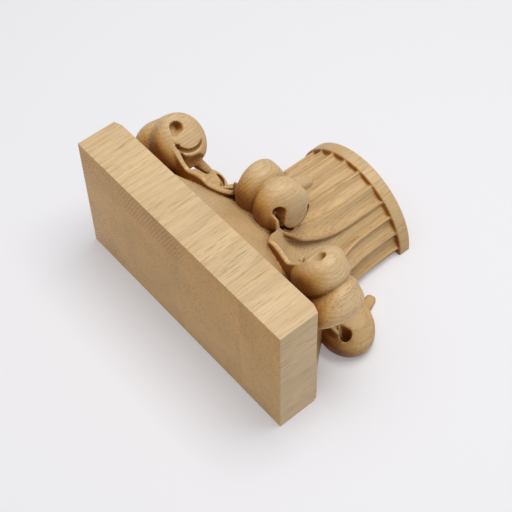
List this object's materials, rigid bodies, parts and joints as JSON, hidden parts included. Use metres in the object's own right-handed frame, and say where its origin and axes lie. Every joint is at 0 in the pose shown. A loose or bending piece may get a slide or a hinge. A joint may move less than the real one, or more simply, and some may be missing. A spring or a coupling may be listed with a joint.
{
  "type": "half-round column capital",
  "caption": "Half-round wooden capital with a plain rectangular slab, leaves that end in paired scrolls at the front, sides and corners, a fluted bell and a plain neck ring; flat back.",
  "frame": {"origin": "middle of the bounding box's underside, on the flat back that the capital lies on", "axes": "+X along the top slab, +Y up the column towards the slab's top face, +Z out of the wall that the flat back goes against"},
  "size_m": [0.1532, 0.1214, 0.0771],
  "materials": {
    "oak": "bare sanded oak"
  },
  "bodies": {
    "root": {"capital": "oak"}
  },
  "joints": []
}
